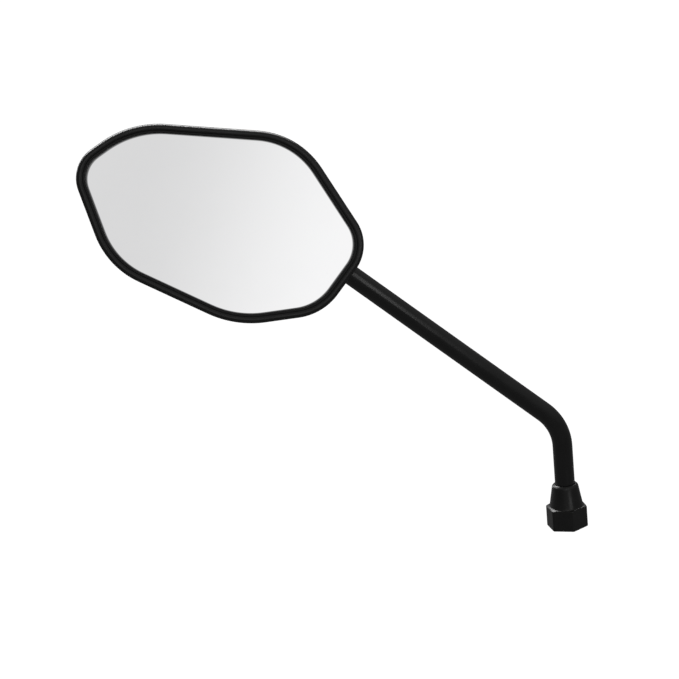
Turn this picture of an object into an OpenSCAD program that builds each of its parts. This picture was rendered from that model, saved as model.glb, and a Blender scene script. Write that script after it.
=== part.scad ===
// Left-hand handlebar mirror: a convex glass in a moulded housing on a ball joint, carried by a bent steel bar.
// The origin is on the stud's axis at the lock nut's seat, +Z runs up the stud, and the glass faces -Y.

/* [Bar] */
// Diameter of the steel bar and of the thread cut on it
bar_d = 10; // [8:0.1:12]
// Height of the bend's corner above the lock nut's seat
lower_leg = 50.2; // [42:0.1:90]
// Length from the bend's corner to the centre of the ball
upper_leg = 172; // [120:1:220]
// Angle through which the bar is bent
bend_angle = 48.8; // [35:0.1:65]
// Radius of the bend at the bar's centre line
bend_r = 25; // [18:1:34]
// Diameter of the turned neck behind the ball
neck_d = 7; // [6:0.1:8]
// Diameter of the spigot that carries the ball
spigot_d = 5; // [4:0.1:5.6]
// Height of the peened end over the ball
peen_h = 0.8; // [0.5:0.1:1.2]

/* [Stud and lock nut] */
// Length of thread below the lock nut
stud_free = 5.1; // [3:0.1:30]
// Length of thread above the lock nut
stud_spare = 9; // [4:0.5:12]
// Chamfer on the stud's end
stud_chamfer = 0.7; // [0.4:0.1:1]
// Depth of the thread, from crest to pitch line
thread_depth = 0.4; // [0.3:0.05:0.5]
// Width of the relief at the thread's upper end
relief_w = 1.5; // [1:0.1:2.5]
// Width of the nut across its flats
nut_af = 14; // [13.2:0.1:17]
// Height of the nut
nut_h = 5; // [4:0.1:8]

/* [Rubber boot] */
// Wall of the skirt around the nut
boot_wall = 2.05; // [1.2:0.05:3]
// Length of the skirt below the nut's seat
boot_drop = 4.2; // [2:0.1:5]
// Rubber over the top of the nut
boot_roof = 1.8; // [1:0.1:3]
// Height of the cone above the skirt
boot_cone_h = 10.7; // [8:0.1:16]
// Wall of the cone at its top
boot_top_wall = 1.55; // [1:0.05:3]
// Width of the chamfer at the cone's top
boot_chamfer = 1; // [0.5:0.1:1.4]
// Step from the cone down to the skirt's flats
boot_step = 0.7; // [0.2:0.05:1]
// Amount taken off the skirt's corners
boot_corner = 0.15; // [0.05:0.05:0.5]
// Turn of the hexagon about the stud
hex_turn = -14; // [-30:1:30]

/* [Ball joint] */
// Diameter of the ball
ball_d = 18; // [16:0.5:22]
// Wall of the nylon cups
cup_t = 1.5; // [1:0.1:2.5]
// Angle that each cup covers from its pole
cup_reach = 70; // [55:1:74]
// Wall of the moulded socket round the rear cup
socket_wall = 3; // [2:0.1:4]
// Travel of the glass up and down, each way
tilt_travel = 12; // [6:1:14]
// Travel of the glass left and right, each way
swing_travel = 12; // [6:1:14]
// Travel of the head in its own plane, each way
turn_travel = 8; // [4:1:10]

/* [Clamp] */
// Thickness of the clamp plate
clamp_t = 1.2; // [0.8:0.1:2]
// Gap left under the clamp plate for take-up
clamp_gap = 0.5; // [0.3:0.1:1]
// Thread diameter of the clamp screws
screw_d = 4; // [3:0.1:4.5]
// Length of screw in the post
screw_grip = 6; // [4:0.5:7]
// Diameter of the screw heads
screw_head_d = 7.4; // [6:0.1:8.4]
// Height of the screw heads
screw_head_h = 2.4; // [1.8:0.1:3]
// Wall of each post round its screw
post_wall = 1.6; // [1.2:0.1:2.2]
// Length of the clamp springs as fitted
spring_l = 5; // [4:0.1:8]
// Wire diameter of the clamp springs
wire_d = 0.8; // [0.5:0.05:0.9]
// Turns in each clamp spring
spring_turns = 3.5; // [2:0.5:4]
// Thickness of the washers under the screw heads
washer_t = 0.6; // [0.4:0.1:1]

/* [Housing] */
// Wall of the housing
shell_wall = 2.4; // [1.8:0.1:3]
// Width of the rim in front, round the gasket
rim_w = 3.2; // [2.8:0.1:4.5]
// Depth over which the rim rounds over
rim_round = 2.2; // [1.5:0.1:3]
// Width of the ledge that carries the backing plate
ledge_w = 2; // [1.5:0.1:3]
// Plastic behind the rear cup, to the back of the housing
back_wall = 5.5; // [3.5:0.1:7]
// Thickness of the ribs inside
rib_t = 1.8; // [1:0.1:2.5]
// Height of the ribs above the inside of the back
rib_h = 9; // [5:0.5:11]
// Lean of the glass back from the stud's axis
head_lean = 20; // [8:1:25]

/* [Glass and packing] */
// Radius of the glass's convex front
glass_r = 1300; // [900:10:2000]
// Thickness of the glass
glass_t = 2; // [1.8:0.1:3]
// Setback of the crown of the glass from the rim's front
glass_set = 0.8; // [0.2:0.1:1.5]
// Wall of the gasket round the glass
gasket_wall = 0.8; // [0.5:0.05:1.1]
// Overlap of the gasket's lip on the glass
gasket_lip = 0.5; // [0.3:0.05:0.8]
// Setback of the gasket's lip from the rim's front
gasket_set = 0.5; // [0.2:0.1:0.8]
// Thickness of the adhesive foam pad
pad_t = 1; // [0.6:0.1:1.6]
// Margin of the pad inside the edge of the glass
pad_margin = 3; // [1:0.5:6]
// Thickness of the backing plate
plate_t = 1.8; // [1.2:0.1:2.5]
// Width of the backing plate's turned edge
plate_edge = 2; // [1.5:0.1:3]

/* [Clearances] */
// Between pieces that are fixed to each other
fit_gap = 0.02; // [0.01:0.01:0.04]
// Between pieces that slide or turn on each other
run_gap = 0.05; // [0.03:0.01:0.08]
// Between the nut and its rubber pocket
pocket_gap = 0.15; // [0.1:0.05:0.3]
// Between the moving bar and the housing
sweep_gap = 0.7; // [0.5:0.1:1]
// Room between the clamp and the backing plate
clamp_room = 1.2; // [0.8:0.1:3]

/* [Hidden] */
$fn = 64;
tiny = 0.01;

// Corners of the head's outline, from the middle of the glass, looking at the glass: across, up, corner radius
corners = [[-41.5, 53.5, 50], [-73.5, 34, 17.5], [-58, -18, 42], [3.5, -52, 52], [47.5, -49, 29], [74.5, -17, 21],
    [42, 41.5, 41]];
// Place of the ball from the middle of the glass
ball_from_middle = [33, -6];
// Share of the way from the ball to the middle of the glass where the back is deepest
crown_share = 0.5;
// Powers of the housing's section, from the rim inwards and from the rim backwards
section_in = 2.8;
section_back = 2.1;
arc_steps = 10;
outside_steps = 14;
inside_steps = 7;
// Radius out to which the curved walls are drawn, before the outline cuts them
wall_reach = 110;
// Angles of the three screws and of the three ribs from the bar
screw_spread = [-60, 60, 180];
rib_spread = [142, 180, 218];
// Room below a screw's end in its hole
hole_spare = 1;

bar_r = bar_d / 2;
bend_start = bend_r * tan(bend_angle / 2);
ball_at = [-upper_leg * sin(bend_angle), 0, lower_leg + upper_leg * cos(bend_angle)];
ball_r = ball_d / 2;
cup_in = ball_r + run_gap;
cup_out = cup_in + cup_t;
seat_r = cup_out + run_gap;
boss_r = seat_r + socket_wall;
post_r = screw_d / 2 + post_wall;
screw_circle = boss_r + screw_head_d / 2;
neck_end = screw_circle + post_r + 1;
spring_r = screw_d / 2 + wire_d;
bar_heading = atan2(-cos(bend_angle) * cos(head_lean), sin(bend_angle));
screw_turns = [for (a = screw_spread) bar_heading + a];

// Depths are counted from the rim's front, backwards
middle = -ball_from_middle;
glass_inset = rim_w + fit_gap + gasket_wall;
glass_reach = max([for (p = outline(glass_inset)) norm(p - middle)]);
glass_sag = glass_reach * glass_reach / 2 / glass_r;
pad_depth = glass_set + glass_t;
plate_depth = pad_depth + pad_t;
ledge_depth = plate_depth + glass_sag + plate_t;
flange_z = clamp_gap;
screw_head_z = flange_z + clamp_t + spring_l + washer_t;
ball_depth = max(ledge_depth + clamp_room + screw_head_h + screw_head_z,
    plate_depth + plate_t + glass_sag / 2 + clamp_room + clamp_t + seat_r);
back_depth = ball_depth + seat_r + back_wall;
crown = middle * crown_share;

// Boot heights are counted from the nut's seat
pocket_af = nut_af + 2 * pocket_gap;
skirt_af = pocket_af + 2 * boot_wall;
skirt_r = skirt_af / 2 / cos(30) - boot_corner;
pocket_top = nut_h + pocket_gap;
skirt_top = pocket_top + boot_roof;
boot_bore_r = bar_r + run_gap;
cone_low_r = skirt_af / 2 - boot_step;
cone_top_r = boot_bore_r + boot_top_wall;

function unit(v) = v / norm(v);
function xy(c) = [c[0], c[1]];

// Points of one rounded corner, pushed inwards by off, on an arc that touches both edges
function corner_arc(i, off) =
    let (n = len(corners),
        b = xy(corners[i]),
        u = unit(xy(corners[(i + n - 1) % n]) - b),
        w = unit(xy(corners[(i + 1) % n]) - b),
        half = acos(u * w) / 2,
        centre = b + unit(u + w) * corners[i][2] / sin(half),
        first = atan2(u[0], -u[1]),
        turn = 180 - 2 * half,
        r = corners[i][2] - off)
    [for (k = [0:arc_steps]) centre + r * [cos(first + turn * k / arc_steps), sin(first + turn * k / arc_steps)]];

// The head's outline from the ball, pushed inwards by off
function outline(off) = [for (i = [0:len(corners) - 1]) each [for (p = corner_arc(i, off)) p + middle]];

// One level of the housing: the outline shrunk towards the crown, at a depth behind the rim's front
function level(off, share, depth) =
    [for (p = outline(off)) [each (crown + (p - crown) * share), ball_depth - depth]];

// Levels of a dome whose section is a superellipse, from the widest level to near the crown
function dome_levels(off, start, depth, steps) =
    [for (k = [0:steps - 1])
        let (a = 90 * k / steps)
        level(off, pow(cos(a), 2 / section_in), start + (depth - start) * pow(sin(a), 2 / section_back))];

function backwards(list) = [for (k = [len(list) - 1:-1:0]) list[k]];

// A closed skin through rings of points, ending in a point at each end
module skin(rings, first, last) {
    n = len(rings[0]);
    m = len(rings);
    points = concat([first], [for (ring = rings) each ring], [last]);
    near = [for (i = [0:n - 1]) [0, 1 + i, 1 + (i + 1) % n]];
    sides = [for (k = [0:m - 2], i = [0:n - 1])
        [1 + k * n + i, 1 + (k + 1) * n + i, 1 + (k + 1) * n + (i + 1) % n, 1 + k * n + (i + 1) % n]];
    far = [for (i = [0:n - 1]) [1 + m * n, 1 + (m - 1) * n + (i + 1) % n, 1 + (m - 1) * n + i]];
    polyhedron(points, concat(near, sides, far), convexity = 8);
}

// The head is drawn from the ball, with its glass facing +Z, and is set on the bar's ball here
module on_head() {
    translate(ball_at) rotate([90 - head_lean, 0, 0]) children();
}

// The bar's own direction as the head sees it, with the head moved by the three travels
module along_bar(tilt = 0, swing = 0, turn = 0) {
    rotate([-tilt, -swing, -turn]) rotate([head_lean - 90, 0, 0]) rotate([0, 180 - bend_angle, 0]) children();
}

// The space that a bar of radius r needs at all the ends of the ball joint's travel
module swept(r, near, far) {
    hull()
        for (a = [-1, 1], b = [-1, 1], c = [-1, 1])
            along_bar(a * tilt_travel, b * swing_travel, c * turn_travel)
                translate([0, 0, near]) cylinder(r = r, h = far - near, $fn = 32);
}

// A slice through the head between two depths
module slice(off, front, back) {
    translate([0, 0, ball_depth - back]) linear_extrude(back - front) polygon(outline(off));
}

// A wall that follows the glass's curve, from a depth at its crown
module curved_wall(depth, thickness) {
    r = glass_r - depth;
    translate([middle[0], middle[1], ball_depth - glass_r])
        rotate_extrude($fn = 96)
            intersection() {
                difference() {
                    circle(r, $fn = 2880);
                    circle(r - thickness, $fn = 2880);
                }
                translate([0, r - thickness - wall_reach]) square([wall_reach, thickness + wall_reach]);
            }
}

// Thread length at the nut is drawn at its pitch line, where nut and stud engage
module rod() {
    thread_r = bar_r - thread_depth;
    relief_z = nut_h + stud_spare;
    straight = upper_leg - neck_end - 1;
    color("#1b1b1d") {
        rotate_extrude()
            polygon([[0, -stud_free], [bar_r - stud_chamfer, -stud_free], [bar_r, stud_chamfer - stud_free], [bar_r, 0],
                [thread_r, 0], [thread_r, nut_h], [bar_r, nut_h], [bar_r, relief_z], [thread_r, relief_z + thread_depth],
                [thread_r, relief_z + relief_w], [bar_r, relief_z + relief_w + thread_depth],
                [bar_r, lower_leg - bend_start + tiny], [0, lower_leg - bend_start + tiny]]);
        translate([-bend_r, 0, lower_leg - bend_start]) rotate([90, 0, 0])
            rotate_extrude(angle = bend_angle) translate([bend_r, 0]) circle(bar_r + tiny);
        translate([0, 0, lower_leg]) rotate([0, -bend_angle, 0])
            rotate_extrude()
                polygon([[0, bend_start - tiny], [bar_r, bend_start - tiny], [bar_r, straight],
                    [neck_d / 2, straight + 1], [neck_d / 2, upper_leg - neck_seat()],
                    [spigot_d / 2, upper_leg - neck_seat()], [spigot_d / 2, upper_leg + ball_r - peen_h],
                    [0, upper_leg + ball_r - peen_h]]);
    }
}

// Distance from the ball's centre to the flat on which the neck's shoulder bears
function neck_seat() = sqrt(ball_r * ball_r - neck_d * neck_d / 4);

// Bored ball, with a flat for the neck and a dish for the peened end
module ball() {
    color("#8f9194")
        translate(ball_at) rotate([0, 180 - bend_angle, 0])
            difference() {
                sphere(ball_r);
                translate([0, 0, neck_seat()]) cylinder(r = ball_r, h = ball_r);
                translate([0, 0, -ball_r - tiny]) cylinder(d = spigot_d + 2 * fit_gap, h = 2 * ball_r);
                translate([0, 0, -ball_r - tiny]) cylinder(d1 = spigot_d + 3 * peen_h, d2 = spigot_d, h = peen_h * 2);
            }
}

module hexagon(across, h) {
    rotate([0, 0, hex_turn]) cylinder(d = across / cos(30), h = h, $fn = 6);
}

// Plain hexagon nut with both faces chamfered
module lock_nut() {
    corner_r = nut_af / 2 / cos(30);
    drop = (corner_r - nut_af / 2) * tan(30);
    color("#34353a")
        difference() {
            intersection() {
                hexagon(nut_af, nut_h);
                rotate_extrude()
                    polygon([[0, 0], [nut_af / 2, 0], [corner_r, drop], [corner_r, nut_h - drop], [nut_af / 2, nut_h],
                        [0, nut_h]]);
            }
            translate([0, 0, -1]) cylinder(r = bar_r - thread_depth + fit_gap, h = nut_h + 2);
        }
}

// Rubber cover: a hexagon skirt that holds the nut, and a cone that grips the bar
module boot() {
    cone_base = skirt_top - boot_roof / 2;
    cone_top = skirt_top + boot_cone_h;
    top = cone_top + boot_chamfer;
    color("#1a1a1b")
        difference() {
            intersection() {
                translate([0, 0, -boot_drop]) hexagon(skirt_af, boot_drop + top + 1);
                rotate_extrude()
                    polygon([[0, -boot_drop], [skirt_r, -boot_drop], [skirt_r, cone_base], [cone_low_r, skirt_top],
                        [cone_top_r, cone_top], [cone_top_r - boot_chamfer, top], [0, top]]);
            }
            translate([0, 0, -boot_drop - 1]) hexagon(pocket_af, boot_drop + 1 + pocket_top);
            translate([0, 0, nut_h]) cylinder(r = boot_bore_r, h = top);
        }
}

// A sphere whose seam is turned away from the bar
module ball_space(r) {
    rotate([0, 0, bar_heading + 180]) sphere(r);
}

// A cup over one side of the ball, open to the bar's neck
module cup(side) {
    flat = cup_out * cos(cup_reach);
    difference() {
        ball_space(cup_out);
        ball_space(cup_in);
        translate([0, 0, side > 0 ? -2 * cup_out + flat : -flat]) cylinder(r = 2 * cup_out, h = 2 * cup_out);
        swept(neck_d / 2 + sweep_gap, 0, 2 * cup_out);
    }
}

module rear_cup() {
    color("#d9d6cc") on_head() cup(-1);
}

module front_cup() {
    color("#d9d6cc") on_head() cup(1);
}

// Repeats its children at the three clamp screws
module at_screws() {
    for (a = screw_turns) rotate([0, 0, a]) translate([screw_circle, 0, 0]) children();
}

// Pressed steel plate: a dome over the front cup, and a flange with three ears
module clamp_plate() {
    ear_r = screw_head_d / 2 + 0.4;
    color("#a9abae")
        on_head()
            difference() {
                union() {
                    intersection() {
                        ball_space(seat_r + clamp_t);
                        translate([0, 0, flange_z]) cylinder(r = 2 * seat_r, h = 2 * seat_r);
                    }
                    translate([0, 0, flange_z])
                        linear_extrude(clamp_t) {
                            circle(boss_r);
                            at_screws() circle(ear_r);
                            for (a = screw_turns) rotate([0, 0, a]) translate([0, -ear_r]) square([screw_circle, 2 * ear_r]);
                        }
                }
                ball_space(seat_r);
                at_screws() cylinder(d = screw_d + 4 * run_gap, h = 4 * seat_r, center = true);
                swept(neck_d / 2 + sweep_gap, 0, neck_end);
                swept(bar_r + sweep_gap, boss_r, neck_end + boss_r);
            }
}

// Centre line of a spring's wire, from its lower to its upper end
function spring_line() =
    [for (k = [0:16 * spring_turns])
        let (share = k / 16 / spring_turns)
        [spring_r * cos(22.5 * k), spring_r * sin(22.5 * k), wire_d / 2 + (spring_l - wire_d) * share]];

module clamp_springs() {
    line = spring_line();
    n = 8;
    rings = [for (k = [0:len(line) - 1])
        let (out = unit([line[k][0], line[k][1], 0]))
        [for (i = [0:n - 1]) line[k] + wire_d / 2 * (out * cos(360 * i / n) + [0, 0, 1] * sin(360 * i / n))]];
    color("#b9bbbf")
        on_head() at_screws() translate([0, 0, flange_z + clamp_t]) skin(rings, line[0], line[len(line) - 1]);
}

module clamp_washers() {
    color("#b9bbbf")
        on_head() at_screws() translate([0, 0, flange_z + clamp_t + spring_l])
            difference() {
                cylinder(d = screw_head_d, h = washer_t);
                translate([0, 0, -1]) cylinder(d = screw_d + 4 * run_gap, h = washer_t + 2);
            }
}

// Pan-head screws with a cross recess
module clamp_screws() {
    head_r = screw_head_d / 2;
    shank_l = screw_head_z + screw_grip;
    color("#b9bbbf")
        on_head() at_screws() translate([0, 0, screw_head_z])
            difference() {
                union() {
                    translate([0, 0, -shank_l]) cylinder(d = screw_d, h = shank_l + tiny);
                    rotate_extrude()
                        polygon(concat([[0, 0], [head_r, 0]],
                            [for (a = [20:14:90]) [head_r * pow(cos(a), 0.6), screw_head_h * sin(a)]], [[0, screw_head_h]]));
                }
                for (a = [0, 90]) rotate([0, 0, a])
                    translate([-head_r * 0.55, -0.45, screw_head_h * 0.45]) cube([head_r * 1.1, 0.9, screw_head_h]);
            }
}

// Walls of the bowl: over the rounded rim, down inside to the ledge, and back along the inside
module bowl() {
    front = [
        level(rim_w, 1, 0.3),
        level(rim_w * 0.75, 1, 0),
        level(rim_w * 0.45, 1, 0),
        level(rim_w * 0.2, 1, rim_round * 0.12),
        level(rim_w * 0.05, 1, rim_round * 0.45)
    ];
    inner_start = ledge_depth + 1;
    inside = dome_levels(rim_w + ledge_w, inner_start, back_depth - shell_wall, inside_steps);
    rings = concat(backwards(dome_levels(0, rim_round, back_depth, outside_steps)), backwards(front),
        [level(rim_w, 1, ledge_depth), level(rim_w + ledge_w, 1, ledge_depth)], inside);
    skin(rings, [crown[0], crown[1], ball_depth - back_depth],
        [crown[0], crown[1], ball_depth - back_depth + shell_wall]);
}

// What stands inside the bowl is kept to the middle of its wall
module inside_bowl() {
    core = dome_levels(rim_w + ledge_w / 2, ledge_depth + 1, back_depth - shell_wall / 2, inside_steps);
    intersection() {
        children();
        skin(backwards(core), [crown[0], crown[1], ball_depth - back_depth + shell_wall / 2],
            [crown[0], crown[1], ball_depth - ledge_depth - 1]);
    }
}

// Moulded housing: the bowl, the ball's socket, three screw posts and the ribs that stiffen them
module housing() {
    depth = back_depth - ball_depth;
    color("#1e1e20")
        on_head()
            difference() {
                union() {
                    bowl();
                    inside_bowl() {
                        translate([0, 0, -depth])
                            linear_extrude(depth) {
                                circle(boss_r);
                                at_screws() circle(post_r);
                                for (a = screw_turns) rotate([0, 0, a]) translate([0, -rib_t]) square([screw_circle, 2 * rib_t]);
                            }
                        for (a = rib_spread) rotate([0, 0, bar_heading + a])
                            translate([0, -rib_t / 2, -depth]) cube([wall_reach, rib_t, rib_h + shell_wall]);
                    }
                }
                ball_space(seat_r);
                at_screws() translate([0, 0, -screw_grip - hole_spare])
                    cylinder(d = screw_d + 2 * fit_gap, h = screw_grip + hole_spare + 1);
                swept(neck_d / 2 + sweep_gap, 0, neck_end);
                swept(bar_r + sweep_gap, boss_r, neck_end + 2 * boss_r);
            }
}

// Moulded tray behind the glass: its face follows the glass, and its turned edge stands on the ledge
module backing_plate() {
    color("#2a2a2c")
        on_head() {
            intersection() {
                curved_wall(plate_depth, plate_t);
                slice(glass_inset + fit_gap, 0, ledge_depth);
            }
            difference() {
                slice(glass_inset + fit_gap, plate_depth, ledge_depth);
                slice(glass_inset + fit_gap + plate_edge, plate_depth - 1, ledge_depth + 1);
                curved_wall(plate_depth - 6, 6);
            }
        }
}

module adhesive_pad() {
    color("#c9c7c2")
        on_head()
            intersection() {
                curved_wall(pad_depth, pad_t);
                slice(glass_inset + pad_margin, 0, ledge_depth);
            }
}

module glass() {
    color("#dfe3e6")
        on_head()
            intersection() {
                curved_wall(glass_set, glass_t);
                slice(glass_inset + fit_gap, 0, ledge_depth);
            }
}

// Rubber packing round the glass and the tray, with a lip over the edge of the glass
module gasket() {
    color("#141415")
        on_head()
            difference() {
                slice(rim_w + fit_gap, gasket_set, ledge_depth);
                slice(glass_inset + gasket_lip, gasket_set - 1, ledge_depth + 1);
                intersection() {
                    curved_wall(glass_set - fit_gap, ledge_depth + 2);
                    slice(glass_inset, gasket_set - 1, ledge_depth + 1);
                }
            }
}

rod();
ball();
lock_nut();
boot();
rear_cup();
front_cup();
clamp_plate();
clamp_springs();
clamp_washers();
clamp_screws();
housing();
backing_plate();
adhesive_pad();
glass();
gasket();
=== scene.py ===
"""Left-hand handlebar mirror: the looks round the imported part. Shapes are worked out in millimetres."""
import math

import bmesh
import bpy
import numpy as np
from mathutils import Matrix, Vector


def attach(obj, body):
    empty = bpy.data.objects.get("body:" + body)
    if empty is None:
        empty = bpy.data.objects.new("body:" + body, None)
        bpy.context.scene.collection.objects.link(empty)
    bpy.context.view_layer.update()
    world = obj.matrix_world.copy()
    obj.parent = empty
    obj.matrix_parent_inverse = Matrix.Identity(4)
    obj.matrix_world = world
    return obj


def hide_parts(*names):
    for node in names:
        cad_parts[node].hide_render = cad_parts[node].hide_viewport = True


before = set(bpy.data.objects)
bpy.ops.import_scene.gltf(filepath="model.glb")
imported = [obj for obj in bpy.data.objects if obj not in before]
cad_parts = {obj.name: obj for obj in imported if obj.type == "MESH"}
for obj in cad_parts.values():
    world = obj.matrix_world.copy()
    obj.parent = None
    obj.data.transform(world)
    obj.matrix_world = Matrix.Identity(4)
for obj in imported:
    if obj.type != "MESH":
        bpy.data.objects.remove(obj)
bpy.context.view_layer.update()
MM = 0.001

# In the names of sizes, R is a radius, T a thickness, W a width, H a height, L a length and AF a width
# across flats

# Bar, stud and nut
BAR_R, NECK_R, SPIGOT_R = 5.0, 3.5, 2.5
LOWER_LEG, UPPER_LEG = 50.2, 172.0
BEND, BEND_R = math.radians(48.8), 25.0
SHOULDER_L, PEEN_H = 1.0, 0.8
STUD_FREE, STUD_CHAMFER, SPIGOT_CHAMFER = 5.1, 0.7, 0.4
NUT_H, NUT_TRAVEL = 5.0, 9.0
THREAD_TOP = NUT_H + NUT_TRAVEL
PITCH, THREAD_DEPTH, THREAD_FADE = 1.25, 0.72, 1.2
RELIEF_W, RELIEF_DEPTH, RELIEF_SLOPE = 1.5, 0.8, 0.6
EDGE_R, EDGE_CUT = 0.5, 0.15

# Rubber boot, heights from the nut's seat
BOOT_DROP, FOOT_ROUND = 4.2, 0.5
SKIRT_AF, POCKET_AF = 18.4, 14.3
POCKET_TOP, SKIRT_TOP = 5.15, 6.95
CONE_TOP, BOOT_TOP = 17.65, 18.65
BOOT_BORE_R = BAR_R + 0.05
CONE_LOW_R, CONE_TOP_R = SKIRT_AF / 2 - 0.7, BOOT_BORE_R + 1.55
HEX_TURN = math.radians(-14)

# Head. Corners are counted from the middle of the glass: across, up, radius. The depths further down and the
# two setbacks are counted backwards from the rim's front
CORNERS = np.array([(-41.5, 53.5, 50), (-73.5, 34, 17.5), (-58, -18, 42), (3.5, -52, 52), (47.5, -49, 29),
                    (74.5, -17, 21), (42, 41.5, 41)], float)
ARC_STEPS = (18, 12, 14, 16, 40, 44, 14)
EDGE_STEPS = (14, 12, 20, 24, 60, 30, 24)
MIDDLE = np.array((-33.0, 6.0))
CROWN = MIDDLE * 0.5
LEAN = math.radians(20)
RIM_W, RIM_ROUND, RIM_CREST, RIM_DROP = 3.2, 2.2, 1.75, 0.4
LEDGE_W, LEDGE_T, SHELL_WALL = 2.0, 1.0, 2.4
SECTION_IN, SECTION_BACK = 2.8, 2.1
GLASS_R, GLASS_T, GLASS_SET = 1300.0, 2.0, 0.8
GROUND_W, GROUND_CUT = 0.3, 0.09
GASKET_WALL, GASKET_LIP, GASKET_SET, FIT = 0.8, 0.5, 0.5, 0.02
GLASS_INSET = RIM_W + FIT + GASKET_WALL
PAD_T, PLATE_T = 1.0, 1.8
BALL_R, SEAT_R, SOCKET_WALL = 9.0, 10.6, 3.0
CLAMP_T, CLAMP_GAP, CLAMP_ROOM = 1.2, 0.5, 1.2
SPRING_L, WASHER_T = 5.0, 0.6
SCREW_R, SCREW_HEAD_R, SCREW_HEAD_H, SCREW_GRIP = 2.0, 3.7, 2.4, 6.0
POST_WALL, POST_CLEAR, HOLE_SPARE = 1.6, 1.0, 1.0
BACK_WALL, WEB_START = 5.5, 2.0
RIB_T, RIB_H, RIB_REACH = 1.8, 9.0, 110.0
SWEEP_GAP = 0.7
TRAVEL = (12.0, 12.0, 8.0)
WINDOW_ROUND, WINDOW_STEPS = 0.5, 420

# Paint numbers tell a mesh's faces apart while it is carved: the outer skin, the inside, the bar's window
SKIN, INSIDE, CUT = 0, 1, 2
# A step that keeps two faces out of one plane
HAIR = 0.001


# Helpers
def unit(v):
    """Vectors brought to length one."""
    v = np.asarray(v, float)
    return v / np.linalg.norm(v, axis=-1, keepdims=True)


def turn(axis, degrees):
    """The matrix that turns rows of points about X, Y or Z."""
    return np.array(Matrix.Rotation(math.radians(degrees), 3, axis)).T


def circle(radius, height, sides):
    """A ring of points round Z at a height. The radius may differ from point to point."""
    t = np.linspace(0, 2 * math.pi, sides, endpoint=False)
    return np.c_[radius * np.cos(t), radius * np.sin(t), np.full(sides, float(height))]


def strip(start, end, width):
    """The outline of a strip along X."""
    half = width / 2
    return np.array(((start, -half), (end, -half), (end, half), (start, half)), float)


def quads(rings, sides, loop=False):
    """The faces between closed rings of points, and from the last ring to the first one if loop."""
    ring = np.arange(rings if loop else rings - 1)[:, None] * sides
    above = (ring + sides) % (rings * sides)
    side = np.arange(sides)[None, :]
    after = (side + 1) % sides
    corners = np.stack([ring + side, ring + after, above + after, above + side], -1)
    return corners.reshape(-1, 4).tolist()


def skin(rings, first, last):
    """A closed skin through rings of points, with a fan to a point at each end."""
    rings = np.asarray(rings, float)
    m, n = rings.shape[:2]
    side = np.arange(n)
    after = (side + 1) % n
    near = np.c_[np.full(n, m * n), after, side].tolist()
    far = np.c_[np.full(n, m * n + 1), (m - 1) * n + side, (m - 1) * n + after].tolist()
    return np.vstack([rings.reshape(-1, 3), first, last]), quads(m, n) + near + far


def tube(rings):
    """A closed ring-shaped skin, whose profile runs round through the rings and back to the first."""
    rings = np.asarray(rings, float)
    return rings.reshape(-1, 3), quads(*rings.shape[:2], loop=True)


def prism(shape, low, high):
    """A flat outline carried along Z."""
    n = len(shape)
    points = np.vstack([np.c_[shape, np.full(n, low)], np.c_[shape, np.full(n, high)]])
    return points, quads(2, n) + [list(range(n))[::-1], list(range(n, 2 * n))]


def shape_of(name, mesh, paint):
    """An object of a mesh, with its faces turned outwards and all of one paint number."""
    body = bmesh.new()
    body.from_mesh(mesh)
    if body.calc_volume(signed=True) < 0:
        mesh.flip_normals()
    body.free()
    while len(mesh.materials) <= CUT:
        mesh.materials.append(None)
    mesh.polygons.foreach_set("material_index", np.full(len(mesh.polygons), paint, np.int32))
    made = bpy.data.objects.new(name, mesh)
    bpy.context.scene.collection.objects.link(made)
    return made


def solid(name, points, faces, paint=SKIN):
    """An object of points in millimetres."""
    mesh = bpy.data.meshes.new(name)
    mesh.from_pydata((np.asarray(points, float) * MM).tolist(), [], faces)
    return shape_of(name, mesh, paint)


def carve(target, operation, *tools):
    """The tools joined to the target, cut out of it, or kept in common with it, worked out at once."""
    for tool in tools:
        step = target.modifiers.new("carve", "BOOLEAN")
        step.operation = operation
        step.object = tool
        step.solver = "MANIFOLD"
    seen = target.evaluated_get(bpy.context.evaluated_depsgraph_get())
    made = bpy.data.meshes.new_from_object(seen)
    target.modifiers.clear()
    target.data = made
    for tool in tools:
        bpy.data.objects.remove(tool)
    return target


def read(items, name, kind, width=1):
    """A mesh's values as one array."""
    values = np.empty(len(items) * width, kind)
    items.foreach_get(name, values)
    return values.reshape(-1, width) if width > 1 else values


def place(piece, body, made_of, nodes, sharp=38.0):
    """One finish, smooth shading but for edges past sharp degrees, the piece's body, and the nodes it hides.
    """
    mesh = piece.data
    mesh.shade_smooth()
    mesh.set_sharp_from_angle(angle=math.radians(sharp))
    mesh.polygons.foreach_set("material_index", np.zeros(len(mesh.polygons), np.int32))
    mesh.materials.clear()
    mesh.materials.append(made_of)
    mesh.update()
    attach(piece, body)
    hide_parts(*nodes)


# Finishes
class Value:
    """A socket that takes part in sums: an expression on it adds the Math nodes that work it out."""

    def __init__(self, tree, socket):
        self.tree, self.socket = tree, socket

    def work_out(self, operation, *values):
        """The Math node of an operation on sockets and numbers."""
        return self.tree.node("Math", {"operation": operation}, values)

    def __add__(self, other):
        return self.work_out("ADD", self, other)

    def __mul__(self, other):
        return self.work_out("MULTIPLY", self, other)

    def __sub__(self, other):
        return self.work_out("SUBTRACT", self, other)

    def __rsub__(self, other):
        return self.work_out("SUBTRACT", other, self)

    __radd__, __rmul__ = __add__, __mul__


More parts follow.
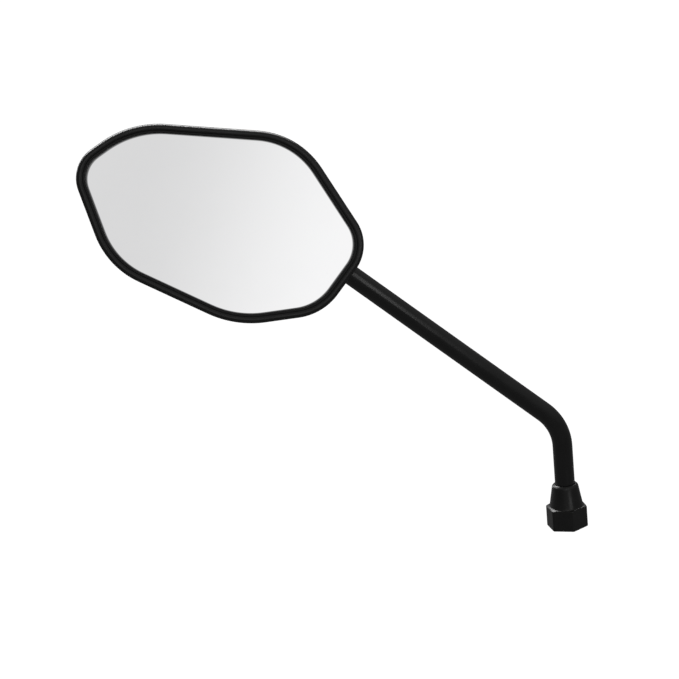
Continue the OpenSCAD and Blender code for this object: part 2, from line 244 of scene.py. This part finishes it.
class Tree:
    """A node tree that is written as expressions."""

    # A Mix node's sockets for colours, which share their names with its sockets for numbers
    MIX_FIRST, MIX_SECOND, MIX_RESULT = 6, 7, 2

    def __init__(self, nodes):
        self.nodes = nodes
        nodes.nodes.clear()

    def node(self, kind, settings=(), values=(), output=0):
        """A node of a kind: its settings come first, then the values or links of its sockets. A socket goes
        by its name or its place."""
        made = self.nodes.nodes.new("ShaderNode" + kind)
        for name, value in dict(settings).items():
            setattr(made, name, value)
        for name, value in values.items() if isinstance(values, dict) else enumerate(values):
            if isinstance(value, Value):
                self.nodes.links.new(value.socket, made.inputs[name])
            else:
                made.inputs[name].default_value = value
        return Value(self, made.outputs[output]) if made.outputs else None

    def spots(self, at, size, detail=3.0, rough=0.5):
        """Noise from 0 to 1 with features of about size millimetres."""
        return self.node("TexNoise", {}, {"Vector": at, "Scale": 1 / (size * MM), "Detail": detail,
                                          "Roughness": rough})

    def cells(self, at, size, settings=(), values=(), output="Distance"):
        """Cells of about size millimetres: how far a point is from its cell's middle, or the cell's shade."""
        values = {"Vector": at, "Scale": 1 / (size * MM), **dict(values)}
        return self.node("TexVoronoi", settings, values, output)

    def between(self, value, low, high, start=0.0, end=1.0, course="LINEAR"):
        """Value brought from low..high to start..end and held there."""
        return self.node("MapRange", {"clamp": True, "interpolation_type": course},
                         {"Value": value, "From Min": low, "From Max": high, "To Min": start, "To Max": end})

    def blend(self, share, first, second):
        """A colour between two colours."""
        return self.node("Mix", {"data_type": "RGBA"},
                         {"Factor": share, self.MIX_FIRST: first, self.MIX_SECOND: second}, self.MIX_RESULT)

    def bump(self, height, depth, normal=None):
        """A normal from a height of 0 to 1 over a depth in millimetres."""
        values = {"Height": height, "Strength": 1.0, "Distance": depth * MM}
        if normal is not None:
            values["Normal"] = normal
        return self.node("Bump", {}, values)


def grey(shade, warm=0.0):
    """A grey colour, a little warm or cold."""
    return (shade * (1 + warm), shade, shade * (1 - warm), 1)


def finish(name, build, **sockets):
    """A material: sockets are the shader's own values, and build returns what changes over the surface."""
    made = bpy.data.materials.new(name)
    made.use_nodes = True
    tree = Tree(made.node_tree)
    at = tree.node("TexCoord", output="Object")
    values = {k.replace("_", " "): v for k, v in sockets.items()}
    values.update(build(tree, at))
    tree.node("OutputMaterial", {}, {"Surface": tree.node("BsdfPrincipled", {}, values)})
    return made


def paint_build(tree, at):
    """Powder coat: orange peel a millimetre across, fine dust, and faint rub marks along the bar."""
    peel = tree.spots(at, 1.1, 2.0)
    dust = tree.spots(at, 0.18, 1.0)
    worn = tree.between(tree.spots(at, 14.0, 4.0, 0.6), 0.42, 0.72)
    return {"Base Color": tree.blend(worn, grey(0.0105), grey(0.014)),
            "Roughness": tree.between(worn + dust * 0.3, 0.0, 1.3, 0.2, 0.3),
            "Normal": tree.bump(dust, 0.006, tree.bump(peel, 0.02))}


def rubber_build(tree, at):
    """Moulded rubber: a fine matt grain, faint bloom, and shallow waves from the mould."""
    grain = tree.spots(at, 0.22, 2.0, 0.6)
    bloom = tree.between(tree.spots(at, 5.0, 4.0, 0.65), 0.45, 0.75)
    wave = tree.spots(at, 4.0, 1.0)
    return {"Base Color": tree.blend(bloom, grey(0.01), grey(0.014, 0.02)),
            "Roughness": tree.between(bloom + grain * 0.4, 0.0, 1.4, 0.33, 0.43),
            "Normal": tree.bump(grain, 0.012, tree.bump(wave, 0.04))}


def shell_build(tree, at):
    """Moulded plastic: a fine eroded grain with slightly polished patches."""
    pits = tree.cells(at, 0.55, {"feature": "SMOOTH_F1"}, {"Smoothness": 0.6})
    grain = tree.spots(at, 0.3, 3.0, 0.6)
    handled = tree.between(tree.spots(at, 18.0, 4.0, 0.55), 0.4, 0.7)
    return {"Base Color": tree.blend(handled, grey(0.009), grey(0.012)),
            "Roughness": tree.between(handled + grain * 0.5, 0.0, 1.5, 0.3, 0.42),
            "Normal": tree.bump(pits, 0.03, tree.bump(grain, 0.02))}


def packing_build(tree, at):
    """Matt packing rubber with a soft grain."""
    grain = tree.spots(at, 0.25, 2.0)
    return {"Base Color": tree.blend(grain, grey(0.007), grey(0.01)),
            "Roughness": tree.between(grain, 0.3, 0.7, 0.42, 0.55),
            "Normal": tree.bump(grain, 0.01)}


def mirror_build(tree, at):
    """Silvered glass: a clean face with a breath of haze."""
    haze = tree.between(tree.spots(at, 30.0, 5.0, 0.6), 0.45, 0.8)
    return {"Base Color": tree.blend(haze, (0.905, 0.905, 0.91, 1), (0.89, 0.89, 0.895, 1)),
            "Roughness": tree.between(haze, 0.0, 1.0, 0.012, 0.03)}


def zinc_build(tree, at):
    """Zinc plate: faint spangle and fine drawing marks."""
    spangle = tree.cells(at, 1.3, output="Color")
    marks = tree.spots(at, 0.25, 2.0)
    return {"Base Color": tree.blend(tree.between(marks, 0.3, 0.7), grey(0.42, -0.02), grey(0.56, 0.01)),
            "Roughness": tree.between(spangle, 0.0, 1.0, 0.27, 0.42),
            "Normal": tree.bump(marks, 0.006)}


def oxide_build(tree, at):
    """Black oxide on a turned nut, thin at rubbed spots."""
    rubbed = tree.between(tree.spots(at, 1.6, 4.0, 0.7), 0.6, 0.78)
    marks = tree.spots(at, 0.2, 2.0)
    return {"Base Color": tree.blend(rubbed, grey(0.03, -0.02), grey(0.12, 0.02)),
            "Roughness": tree.between(marks, 0.3, 0.7, 0.3, 0.45),
            "Normal": tree.bump(marks, 0.008)}


def nylon_build(tree, at):
    """Natural nylon with a faint cloudiness."""
    cloud = tree.spots(at, 3.0, 3.0)
    return {"Base Color": tree.blend(cloud, (0.63, 0.6, 0.52, 1), (0.72, 0.7, 0.63, 1)),
            "Roughness": tree.between(cloud, 0.3, 0.7, 0.38, 0.5),
            "Normal": tree.bump(tree.spots(at, 0.3, 2.0), 0.006)}


def foam_build(tree, at):
    """Closed-cell foam tape."""
    cells = tree.cells(at, 0.35)
    return {"Base Color": tree.blend(tree.between(cells, 0.0, 0.7), grey(0.4), grey(0.55)),
            "Roughness": tree.between(cells, 0.0, 0.7, 0.8, 0.95),
            "Normal": tree.bump(cells, 0.04)}


def tray_build(tree, at):
    """Plain black moulding."""
    grain = tree.spots(at, 0.4, 3.0)
    return {"Base Color": tree.blend(grain, grey(0.02), grey(0.03)),
            "Roughness": tree.between(grain, 0.3, 0.7, 0.4, 0.5),
            "Normal": tree.bump(grain, 0.01)}


BAR_PAINT = finish("bar_paint", paint_build, Specular_IOR_Level=0.5)
BOOT_RUBBER = finish("boot_rubber", rubber_build, Specular_IOR_Level=0.45)
HOUSING_PLASTIC = finish("housing_plastic", shell_build, Specular_IOR_Level=0.5)
GASKET_RUBBER = finish("gasket_rubber", packing_build, Specular_IOR_Level=0.4)
MIRROR_GLASS = finish("mirror_glass", mirror_build, Metallic=1.0)
ZINC_STEEL = finish("zinc_steel", zinc_build, Metallic=1.0)
BLACK_STEEL = finish("black_steel", oxide_build, Metallic=0.8)
NYLON = finish("nylon", nylon_build, Subsurface_Weight=0.1, Subsurface_Scale=0.002)
FOAM = finish("foam", foam_build)
PLATE_PLASTIC = finish("plate_plastic", tray_build)


# Bar and boot
def bar():
    """The bar: circles carried along a straight leg, a bend and a straight leg, with a thread on the stud.
    The circle's radius runs straight between a few heights. The thread's depth at a point follows a
    trapezium wave of its height in pitches less its turn round the bar, and fades out at the top."""
    bend_start = BEND_R * math.tan(BEND / 2)
    low = LOWER_LEG - bend_start
    high = low + BEND_R * BEND
    ball = high + UPPER_LEG - bend_start
    relief_top = THREAD_TOP + RELIEF_W
    shoulder = ball - NECK_END - SHOULDER_L
    seat = ball - math.sqrt(BALL_R ** 2 - NECK_R ** 2)
    tip = ball + BALL_R - PEEN_H
    soft, end_face = EDGE_R / 2, 0.01
    profile = np.array([
        (-STUD_FREE, BAR_R - STUD_CHAMFER),
        (-STUD_FREE + STUD_CHAMFER, BAR_R),
        (THREAD_TOP, BAR_R),
        (THREAD_TOP + RELIEF_SLOPE, BAR_R - RELIEF_DEPTH),
        (relief_top, BAR_R - RELIEF_DEPTH),
        (relief_top + EDGE_R, BAR_R - EDGE_CUT),
        (relief_top + EDGE_R + soft, BAR_R),
        (shoulder - EDGE_R, BAR_R),
        (shoulder - EDGE_CUT, BAR_R - EDGE_CUT),
        (shoulder, BAR_R - EDGE_R),
        (shoulder + 0.85 * SHOULDER_L, NECK_R + soft),
        (shoulder + 1.4 * SHOULDER_L, NECK_R),
        (seat, NECK_R),
        (seat + end_face, SPIGOT_R),
        (tip - SPIGOT_CHAMFER, SPIGOT_R),
        (tip, SPIGOT_R - SPIGOT_CHAMFER)])
    thread_step, leg_start, leg_step, bend_steps, sides = 0.1, 20.0, 6.0, 48, 72
    s = np.unique(np.concatenate([profile[:, 0],
                                  np.arange(-STUD_FREE, THREAD_TOP + RELIEF_SLOPE, thread_step),
                                  np.linspace(low, high, bend_steps + 1),
                                  np.arange(leg_start, shoulder, leg_step)]).round(5))
    t = np.linspace(0, 2 * math.pi, sides, endpoint=False)
    flank, crest = 2.9, 0.16
    phase = (s[:, None] / PITCH - t[None, :] / (2 * math.pi)) % 1.0
    groove = np.clip(flank * (0.5 - np.abs(phase - 0.5)) - crest, 0, 1)
    threaded = np.clip((THREAD_TOP - s) / THREAD_FADE, 0, 1)[:, None]
    r = np.minimum(np.interp(s, *profile.T)[:, None], BAR_R - THREAD_DEPTH * groove * threaded)
    angle = np.clip((s - low) / BEND_R, 0, BEND)
    below = np.minimum(s, low)
    beyond = np.maximum(s - high, 0)
    centre = np.c_[-BEND_R * (1 - np.cos(angle)) - beyond * np.sin(angle), 0 * s,
                   below + BEND_R * np.sin(angle) + beyond * np.cos(angle)]
    across = np.c_[np.cos(angle), 0 * s, np.sin(angle)]
    rings = centre[:, None] + r[..., None] * (np.cos(t)[None, :, None] * across[:, None]
                                              + np.sin(t)[None, :, None] * np.array((0, 1, 0)))
    tip_crown = EDGE_CUT * np.array((-math.sin(BEND), 0, math.cos(BEND)))
    return solid("bar", *skin(rings, centre[0], centre[-1] + tip_crown))


def hexagon(sides, across, power):
    """How far a hexagon with rounded corners reaches round the bar: six flats blended by a high power."""
    t = np.linspace(0, 2 * math.pi, sides, endpoint=False)
    flats = HEX_TURN + math.pi / 6 + np.arange(6) * math.pi / 3
    reach = np.maximum(np.cos(t[None, :] - flats[:, None]), 0) / (across / 2)
    return (reach ** power).sum(0) ** (-1 / power)


def boot():
    """The boot: a hexagon and a turned profile, whichever is nearer the bar, blended softly where they cross.
    The foot is rounded by a quarter circle. The wall closes through a hexagon pocket and a round bore."""
    sides, skirt_power, pocket_power, crossing_power = 192, 90, 60, 40.0
    outer = hexagon(sides, SKIRT_AF, skirt_power)
    inner = hexagon(sides, POCKET_AF, pocket_power)
    past_corner = SKIRT_AF / 2 / math.cos(math.pi / 6) + 0.3
    profile = np.array([
        (-BOOT_DROP, past_corner),
        (SKIRT_TOP - 0.85, past_corner),
        (SKIRT_TOP - 0.5, past_corner - 0.25),
        (SKIRT_TOP, CONE_LOW_R + 0.12),
        (SKIRT_TOP + 0.5, CONE_LOW_R - 0.11),
        (CONE_TOP - 0.3, CONE_TOP_R + 0.06),
        (CONE_TOP + 0.25, CONE_TOP_R - 0.22),
        (BOOT_TOP - 0.15, BOOT_BORE_R + 0.65),
        (BOOT_TOP, BOOT_BORE_R + 0.45)])
    foot_top = -BOOT_DROP + FOOT_ROUND
    cone_foot, cone_start = SKIRT_TOP - 1, SKIRT_TOP + 0.8
    z = np.unique(np.concatenate([profile[:, 0], np.linspace(-BOOT_DROP, foot_top, 7),
                                  np.linspace(foot_top, cone_foot, 8), np.linspace(cone_foot, cone_start, 19),
                                  np.linspace(cone_start, BOOT_TOP, 22)]))
    turned = np.interp(z, *profile.T)[:, None]
    r = (turned ** -crossing_power + outer[None, :] ** -crossing_power) ** (-1 / crossing_power)
    foot = np.clip(1 - (z + BOOT_DROP) / FOOT_ROUND, 0, 1)
    r = r - FOOT_ROUND * (1 - np.sqrt(1 - foot ** 2))[:, None]
    rings = [circle(radius, height, sides) for radius, height in zip(r, z)]
    rings += [circle(radius, height, sides) for radius, height in (
        (BOOT_BORE_R + 0.15, BOOT_TOP), (BOOT_BORE_R, BOOT_TOP - 0.15), (BOOT_BORE_R, POCKET_TOP + 0.2),
        (BOOT_BORE_R + 0.2, POCKET_TOP), (inner - 0.3, POCKET_TOP), (inner, POCKET_TOP - 0.3),
        (inner, -BOOT_DROP + 0.3), (inner + 0.3, -BOOT_DROP))]
    return solid("boot_cover", *tube(rings))


# Head
def outline(off):
    """The head's outline from the ball, pushed inwards by off: an arc at each corner that touches both edges,
    then points along the edge after it."""
    corner = CORNERS[:, :2]
    back = unit(np.roll(corner, 1, 0) - corner)
    ahead = unit(np.roll(corner, -1, 0) - corner)
    half = np.arccos((back * ahead).sum(1)) / 2
    centre = corner + unit(back + ahead) * (CORNERS[:, 2] / np.sin(half))[:, None]
    first = np.arctan2(back[:, 0], -back[:, 1])
    arcs = []
    for c, a, h, r, steps in zip(centre, first, half, CORNERS[:, 2] - off, ARC_STEPS):
        t = a + (math.pi - 2 * h) * np.linspace(0, 1, steps + 1)
        arcs.append(c + r * np.c_[np.cos(t), np.sin(t)])
    rows = []
    for k, (arc, steps) in enumerate(zip(arcs, EDGE_STEPS)):
        share = np.linspace(0, 1, steps + 1)[1:-1, None]
        rows += [arc, arc[-1] * (1 - share) + arcs[(k + 1) % len(arcs)][0] * share]
    return np.vstack(rows) + MIDDLE


GLASS_REACH = np.linalg.norm(outline(GLASS_INSET) - MIDDLE, axis=1).max()
GLASS_SAG = GLASS_REACH ** 2 / 2 / GLASS_R
PLATE_DEPTH = GLASS_SET + GLASS_T + PAD_T
LEDGE_DEPTH = PLATE_DEPTH + GLASS_SAG + PLATE_T
INNER_DEPTH = LEDGE_DEPTH + LEDGE_T
SCREW_HEAD_Z = CLAMP_GAP + CLAMP_T + SPRING_L + WASHER_T
BALL_DEPTH = max(LEDGE_DEPTH + CLAMP_ROOM + SCREW_HEAD_H + SCREW_HEAD_Z,
                 PLATE_DEPTH + PLATE_T + GLASS_SAG / 2 + CLAMP_ROOM + CLAMP_T + SEAT_R)
BACK_DEPTH = BALL_DEPTH + SEAT_R + BACK_WALL
BOSS_R = SEAT_R + SOCKET_WALL
POST_R = SCREW_R + POST_WALL
SCREW_CIRCLE = BOSS_R + SCREW_HEAD_R
NECK_END = SCREW_CIRCLE + POST_R + POST_CLEAR
BALL_AT = np.array((-UPPER_LEG * math.sin(BEND), 0, LOWER_LEG + UPPER_LEG * math.cos(BEND)))
CROWN_AT = np.array((*CROWN, BALL_DEPTH - BACK_DEPTH))
HEADING = math.degrees(math.atan2(-math.cos(BEND) * math.cos(LEAN), math.sin(BEND)))
SCREW_TURNS = [HEADING + a for a in (-60, 60, 180)]
RIB_TURNS = [HEADING + a for a in (142, 180, 218)]


def on_head(points):
    """Points drawn from the ball, with the glass facing +Z, set on the bar's ball."""
    return BALL_AT + np.asarray(points, float) @ turn("X", 90 - math.degrees(LEAN))


def head_solid(name, points, faces):
    """An object of points drawn from the ball."""
    return solid(name, on_head(points), faces, INSIDE)


def head_prism(name, shape, low, high, degrees=0.0):
    """A prism along the head's depth, turned round the ball."""
    points, faces = prism(shape, low, high)
    return head_solid(name, points @ turn("Z", degrees), faces)


def level(off, share, depth):
    """The outline pushed in by off and shrunk to a share of itself towards the crown, at a depth."""
    flat = CROWN + (outline(off) - CROWN) * share
    return np.c_[flat, np.full(len(flat), BALL_DEPTH - depth)]


def dome(off, start, depth, steps):
    """Levels of a dome whose section is a superellipse, from the widest level to near the crown."""
    return [level(off, math.cos(v) ** (2 / SECTION_IN),
                  start + (depth - start) * math.sin(v) ** (2 / SECTION_BACK))
            for v in math.pi / 2 * np.arange(steps) / steps]


def bowl():
    """The housing's walls: levels over the outer dome, round the rim in two quarter ellipses that meet at its
    crest, down to the ledge, and back along the inner dome."""
    rim = [level(RIM_CREST * (1 - math.cos(v)), 1, RIM_ROUND * (1 - math.sin(v)))
           for v in np.linspace(0, math.pi / 2, 10)[1:]]
    rim += [level(RIM_CREST + (RIM_W - RIM_CREST) * math.sin(v), 1, RIM_DROP * (1 - math.cos(v)))
            for v in np.linspace(0, math.pi / 2, 7)[1:]]
    ledge = [level(RIM_W, 1, LEDGE_DEPTH), level(RIM_W + LEDGE_W, 1, LEDGE_DEPTH)]
    outside = dome(0, RIM_ROUND, BACK_DEPTH, 96)[::-1]
    inside = dome(RIM_W + LEDGE_W, INNER_DEPTH, BACK_DEPTH - SHELL_WALL, 24)
    rings = outside + rim + ledge + inside
    points, faces = skin(rings, CROWN_AT, CROWN_AT + (0, 0, SHELL_WALL))
    walls = head_solid("housing_shell", points, faces)
    outer = len(rings[0]) * (len(outside) - 1)
    paint = np.where(np.arange(len(faces)) < outer, SKIN, INSIDE)
    walls.data.polygons.foreach_set("material_index", paint.astype(np.int32))
    return walls


def inside_bowl():
    """The ball's socket, the screw posts with their webs, and the ribs: prisms from the back, kept to the
    middle of the bowl's wall."""
    depth = BACK_DEPTH - BALL_DEPTH
    inner = head_prism("socket", circle(BOSS_R, 0, 128)[:, :2], -depth, 0)
    tools = []
    for a in SCREW_TURNS:
        post = circle(POST_R, 0, 48)[:, :2] + (SCREW_CIRCLE, 0)
        web = strip(WEB_START, SCREW_CIRCLE, 2 * RIB_T)
        tools += [head_prism("post", post, -depth, 0, a), head_prism("web", web, -depth, -HAIR, a)]
    for a in RIB_TURNS:
        tools.append(head_prism("rib", strip(0, RIB_REACH, RIB_T), -depth, -depth + RIB_H + SHELL_WALL, a))
    carve(inner, "UNION", *tools)
    core = dome(RIM_W + LEDGE_W / 2, INNER_DEPTH, BACK_DEPTH - SHELL_WALL / 2, 24)[::-1]
    ends = CROWN_AT + (0, 0, SHELL_WALL / 2), CROWN_AT + (0, 0, BACK_DEPTH - INNER_DEPTH)
    return carve(inner, "INTERSECT", head_solid("core", *skin(core, *ends)))


def swept(radius, near, far):
    """The hull of a bar of that radius at all the ends of the ball joint's travel."""
    drawn = np.vstack([circle(radius, near, 48), circle(radius, far, 48)])
    at_rest = drawn @ turn("Y", 180 - math.degrees(BEND)) @ turn("X", math.degrees(LEAN) - 90)
    tilt, swing, spin = TRAVEL
    places = [at_rest @ turn("X", a * tilt) @ turn("Y", b * swing) @ turn("Z", c * spin)
              for a in (-1, 1) for b in (-1, 1) for c in (-1, 1)]
    mesh = bpy.data.meshes.new("swept")
    mesh.from_pydata((on_head(np.vstack(places)) * MM).tolist(), [], [])
    body = bmesh.new()
    body.from_mesh(mesh)
    found = bmesh.ops.convex_hull(body, input=body.verts)
    spare = {v for v in found["geom_interior"] + found["geom_unused"] if isinstance(v, bmesh.types.BMVert)}
    bmesh.ops.delete(body, geom=list(spare), context="VERTS")
    body.to_mesh(mesh)
    body.free()
    return shape_of("swept", mesh, CUT)


def window_edge(mesh, steps):
    """Evenly spaced points once round the edge between skin and cut, in order about the bar, with the outward
    directions of the skin and of the cut's face there, each the mean over a few neighbours."""
    neighbours, shortest = 3, 0.01
    total = read(mesh.polygons, "loop_total", np.int32)
    paint = np.repeat(read(mesh.polygons, "material_index", np.int32), total)
    facing = np.repeat(read(mesh.polygons, "normal", np.float32, 3), total, axis=0)
    edge = read(mesh.loops, "edge_index", np.int32)
    skin_edges, first = np.unique(edge[paint == SKIN], return_index=True)
    cut_edges, second = np.unique(edge[paint == CUT], return_index=True)
    both, i, j = np.intersect1d(skin_edges, cut_edges, return_indices=True)
    ends = read(mesh.vertices, "co", np.float32, 3)[read(mesh.edges, "vertices", np.int32, 2)[both]] / MM
    rows = np.hstack([ends.mean(1), facing[paint == SKIN][first[i]], facing[paint == CUT][second[j]]])
    whole = np.linalg.norm(ends[:, 0] - ends[:, 1], axis=1) > shortest
    rows = rows[whole & np.isfinite(rows).all(1)]
    away = rows[:, :3] - BALL_AT
    across = np.cross((math.sin(BEND), 0, -math.cos(BEND)), (0, 1, 0))
    rows = rows[np.argsort(np.arctan2(away @ across, away[:, 1]))]
    length = np.linalg.norm(np.roll(rows[:, :3], -1, 0) - rows[:, :3], axis=1)
    at = np.cumsum(length) - length
    even = np.linspace(0, length.sum(), steps, endpoint=False)
    rows = np.stack([np.interp(even, at, column, period=length.sum()) for column in rows.T], 1)
    soft = sum(np.roll(rows, k, 0) for k in range(-neighbours, neighbours + 1))
    return rows[:, :3], unit(soft[:, 3:6]), unit(soft[:, 6:])


def window_mouth(mesh):
    """The cutter that rounds the window's outer edge. Its profile, carried round the edge, is a parabola that
    leaves the skin and the cut's face at WINDOW_ROUND from the corner, closed outside the plastic."""
    over, outside = 0.03, 0.6
    edge, out, cut = window_edge(mesh, WINDOW_STEPS)
    lean = (out * cut).sum(1, keepdims=True)
    back = edge + WINDOW_ROUND * unit(lean * out - cut)
    down = edge + WINDOW_ROUND * unit(lean * cut - out)
    rings = [edge + outside * (out + cut), back + outside * out, back + over * out]
    rings += [(1 - u) ** 2 * back + 2 * u * (1 - u) * edge + u ** 2 * down
              for u in np.linspace(0, 1, 8)[1:-1]]
    rings += [down + over * cut, down + outside * cut]
    return solid("mouth", *tube(rings), CUT)


def housing():
    """The housing: the bowl joined to what stands inside it, less the ball's seat, the screws' pilot holes
    and the bar's window, whose outer edge is rounded."""
    shell = carve(bowl(), "UNION", inside_bowl())
    ball = [circle(SEAT_R * math.sin(v), SEAT_R * math.cos(v), 96)
            for v in np.linspace(0, math.pi, 49)[1:-1]]
    cuts = [head_solid("seat", *skin(ball, (0, 0, SEAT_R), (0, 0, -SEAT_R)))]
    pilot = circle(SCREW_R + FIT, 0, 48)[:, :2] + (SCREW_CIRCLE, 0)
    cuts += [head_prism("pilot", pilot, -SCREW_GRIP - HOLE_SPARE, 1, a) for a in SCREW_TURNS]
    cuts += [swept(NECK_R + SWEEP_GAP, 0, NECK_END), swept(BAR_R + SWEEP_GAP, BOSS_R, NECK_END + 2 * BOSS_R)]
    carve(shell, "DIFFERENCE", *cuts)
    carve(shell, "DIFFERENCE", window_mouth(shell.data))
    body = bmesh.new()
    body.from_mesh(shell.data)
    bmesh.ops.dissolve_degenerate(body, dist=HAIR * MM, edges=body.edges)
    body.to_mesh(shell.data)
    body.free()
    return shell


def on_glass(off, share, drop):
    """The outline pushed in by off and shrunk to a share of itself towards the middle, at a drop behind the
    glass's front, which is a sphere's."""
    flat = MIDDLE + (outline(off) - MIDDLE) * share
    front = GLASS_SET + GLASS_R - np.sqrt(GLASS_R ** 2 - ((flat - MIDDLE) ** 2).sum(1))
    return np.c_[flat, BALL_DEPTH - front - drop]


def glass():
    """The glass: two spheres' faces, both shrinking to the middle, joined by an edge with ground corners."""
    edge = GLASS_INSET + FIT
    front_shares, back_shares = np.linspace(0.02, 1, 30) ** 0.8, np.linspace(1, 0.05, 8)
    rings = [on_glass(edge + GROUND_W, share, 0) for share in front_shares]
    rings += [on_glass(edge + GROUND_CUT, 1, GROUND_CUT), on_glass(edge, 1, GROUND_W),
              on_glass(edge, 1, GLASS_T - GROUND_W), on_glass(edge + GROUND_CUT, 1, GLASS_T - GROUND_CUT)]
    rings += [on_glass(edge + GROUND_W, share, GLASS_T) for share in back_shares]
    front = np.array((*MIDDLE, BALL_DEPTH - GLASS_SET))
    return head_solid("glass_plate", *skin(rings, front, front - (0, 0, GLASS_T)))


def gasket():
    """The packing: one profile carried round the outline, up its outer side, over the rounded lip, down onto
    the glass and along it."""
    low, high = RIM_W + FIT, GLASS_INSET + GASKET_LIP
    rings = [level(off, 1, depth) for off, depth in (
        (low, LEDGE_DEPTH), (low, GASKET_SET + 0.3), (low + 0.03, GASKET_SET + 0.15),
        (low + 0.12, GASKET_SET + 0.04), (low + 0.3, GASKET_SET), (high - 0.45, GASKET_SET),
        (high - 0.22, GASKET_SET + 0.03), (high - 0.07, GASKET_SET + 0.1), (high, GASKET_SET + 0.22))]
    rings += [on_glass(high, 1, -FIT), on_glass(GLASS_INSET, 1, -FIT), level(GLASS_INSET, 1, LEDGE_DEPTH)]
    return head_solid("gasket_ring", *tube(rings))


place(bar(), "stem", BAR_PAINT, ["rod"])
place(boot(), "boot", BOOT_RUBBER, ["boot"], sharp=60)
place(housing(), "head", HOUSING_PLASTIC, ["housing"])
place(glass(), "head", MIRROR_GLASS, ["glass"], sharp=30)
place(gasket(), "head", GASKET_RUBBER, ["gasket"], sharp=60)

for name, made in {"ball": ZINC_STEEL, "clamp_plate": ZINC_STEEL, "clamp_springs": ZINC_STEEL,
                   "clamp_washers": ZINC_STEEL, "clamp_screws": ZINC_STEEL, "lock_nut": BLACK_STEEL,
                   "rear_cup": NYLON, "front_cup": NYLON, "backing_plate": PLATE_PLASTIC,
                   "adhesive_pad": FOAM}.items():
    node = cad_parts[name]
    node.data.materials.clear()
    node.data.materials.append(made)


# Studio, in metres. The picture is 679 pixels of 0.5 mm wide
FRONT = np.array((0, -math.cos(LEAN), math.sin(LEAN)))
RIGHT = np.array((1.0, 0, 0))
UP = np.cross(FRONT, RIGHT)
AIM = np.array((-0.10780, 0, 0.10385))
DISTANCE = 6.0
FRAME_W = 0.3395
ROLL = math.radians(4.1)
FLOOR_SIZE, FLOOR_DROP, FLOOR_SPOTS = 160, 6, 400.0


def stand(data, x, y, z, at):
    """A camera or lamp in the scene, at a place, with its own X, Y and Z along three directions."""
    made = bpy.data.objects.new(data.name, data)
    turned = Matrix(np.c_[x, y, z].tolist()).to_4x4()
    made.matrix_world = Matrix.Translation(Vector(at)) @ turned
    bpy.context.scene.collection.objects.link(made)
    return made


def camera():
    """A long lens at the photograph's angle, rolled a little."""
    data = bpy.data.cameras.new("camera")
    data.lens = data.sensor_width * DISTANCE / FRAME_W
    data.clip_start, data.clip_end = 0.1, 100
    up = math.cos(ROLL) * UP + math.sin(ROLL) * RIGHT
    right = math.cos(ROLL) * RIGHT - math.sin(ROLL) * UP
    bpy.context.scene.camera = stand(data, right, up, FRONT, AIM + DISTANCE * FRONT)


def light(name, at, direction, distance, size, power, longways=(0, 0, 1)):
    """A panel that faces a point from a direction, with its first side along longways."""
    data = bpy.data.lights.new(name, "AREA")
    data.shape = "RECTANGLE"
    data.size, data.size_y = size
    data.energy = power
    z = unit(direction)
    x = unit(np.array(longways) - z * (z @ longways))
    stand(data, x, np.cross(z, x), z, np.array(at) + z * distance).visible_camera = False


def studio():
    """A pale floor far below, and a pale room that is bright behind the camera. The camera sees floor and
    room white, and the mirror sees them grey."""
    bpy.ops.mesh.primitive_plane_add(size=FLOOR_SIZE, location=(0, 0, -FLOOR_DROP))
    floor = bpy.context.object
    floor.name = "floor"

    def floor_build(tree, at):
        """Pale grey, lit from within so that its edge can't be told from the room's."""
        seen = tree.node("LightPath", output="Is Camera Ray")
        return {"Base Color": tree.blend(tree.spots(at, FLOOR_SPOTS), grey(0.2), grey(0.24)),
                "Emission Color": tree.blend(seen, grey(0.076), grey(1.0))}

    floor.data.materials.append(finish("floor", floor_build, Roughness=0.9, Emission_Strength=1.0))

    world = bpy.data.worlds.new("room")
    world.use_nodes = True
    bpy.context.scene.world = world
    tree = Tree(world.node_tree)
    way = tree.node("TexCoord", output="Generated")

    def along(v):
        """How far the way looked runs along a direction."""
        return tree.node("VectorMath", {"operation": "DOT_PRODUCT"}, [way, tuple(v)], "Value")

    wall_edge, wall_full = math.radians(15), math.radians(9.5)
    wall = tree.between(along(FRONT), math.cos(wall_edge), math.cos(wall_full))
    wall_shade = tree.between(along(RIGHT - UP * 0.4), -0.10, 0.11, 0.765, 1.02, "SMOOTHSTEP")
    room_shade = tree.between(along((0.36, -0.25, 0.9)), 0.4, 1.0, 0.137, 0.3, "SMOOTHSTEP")
    shade = wall * wall_shade + (1 - wall) * room_shade
    colour = tree.node("CombineColor", {}, [shade, shade, shade])
    glow = tree.node("Background", {}, {"Color": colour, "Strength": 1.0})
    plain = tree.node("Background", {}, {"Color": grey(1), "Strength": 1.0})
    seen = tree.node("LightPath", output="Is Camera Ray")
    tree.node("OutputWorld", {}, {"Surface": tree.node("MixShader", {}, [seen, glow, plain])})


camera()
studio()
# The streaks along the bar and down the boot, then the light on the housing's back and side
light("bar_key", (-0.101, 0, 0.139), (0.598, -0.725, 0.341), 0.36, (0.24, 0.03), 0.07,
      longways=(0.6355, 0.2639, 0.7252))
light("boot_key", (0.0391, -0.0685, -0.0883), (0.103, -0.1805, 0.978), 0.1, (0.02, 0.01), 0.018)
light("back_top", AIM, (-0.2, 0.7, 0.85), 1.3, (1.5, 0.5), 34, longways=(1, 0, 0))
light("back_side", AIM, (-0.6, 0.75, 0.25), 1.5, (1.2, 0.2), 5)

scene = bpy.context.scene
scene.view_settings.view_transform = "Standard"
scene.view_settings.look = "None"
scene.view_settings.exposure = 0
